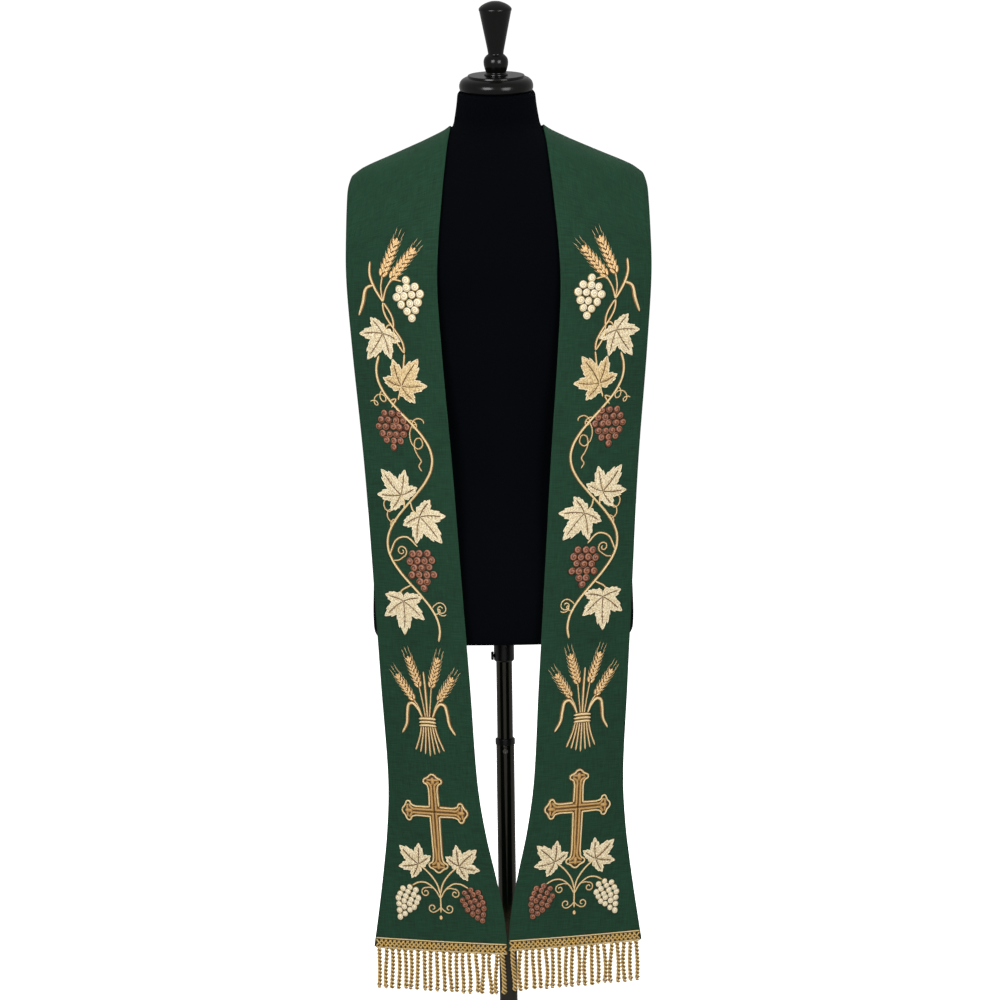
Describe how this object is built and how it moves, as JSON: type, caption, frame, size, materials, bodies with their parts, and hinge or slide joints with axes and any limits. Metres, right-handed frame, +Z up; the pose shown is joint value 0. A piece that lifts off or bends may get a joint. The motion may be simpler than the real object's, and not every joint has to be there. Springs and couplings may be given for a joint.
{
  "type": "clerical stole on a dress form",
  "caption": "Long embroidered clerical stole with braided, fringed hems, worn open over a limbless dress form on a height-adjustable pole stand with a round base.",
  "frame": {"origin": "centre of the base's underside, on the floor", "axes": "+Z up along the pole, the form faces -Y, +X towards the wearer's left"},
  "size_m": [0.4074, 0.34, 1.6119],
  "materials": {
    "stole_cloth": "matte",
    "gold_braid": "satin",
    "gold_fringe": "satin",
    "jersey": "matte",
    "lacquer": "gloss",
    "black_metal": "satin",
    "dark_chrome": "polished"
  },
  "bodies": {
    "stand": {"base": "black_metal", "lower_tube": "dark_chrome", "ring_collar": "black_metal"},
    "clamp_screw": {"clamp_screw": "black_metal"},
    "mast": {"mast": "dark_chrome"},
    "form": {"torso": "jersey", "socket_collar": "black_metal", "neck_cap": "lacquer", "finial": "lacquer", "stole_half_left": "stole_cloth", "stole_half_right": "stole_cloth", "braid_left": "gold_braid", "braid_right": "gold_braid", "fringe_left": "gold_fringe", "fringe_right": "gold_fringe"},
    "thumb_screw": {"thumb_screw": "black_metal"}
  },
  "joints": [
    {"name": "height_slide", "type": "slide", "parent": "stand", "child": "mast", "axis": [0, 0, 1], "range_m": [-0.09, 0.2]},
    {"name": "form_swivel", "type": "hinge", "parent": "mast", "child": "form", "pos_m": [0, 0, 0.9], "axis": [0, 0, 1], "continuous": true},
    {"name": "thumb_screw_turn", "type": "hinge", "parent": "form", "child": "thumb_screw", "pos_m": [0, 0, 0.7235], "axis": [-1, 0, 0], "continuous": true},
    {"name": "clamp_screw_turn", "type": "hinge", "parent": "stand", "child": "clamp_screw", "pos_m": [0, 0, 0.592], "axis": [0, -1, 0], "continuous": true}
  ]
}
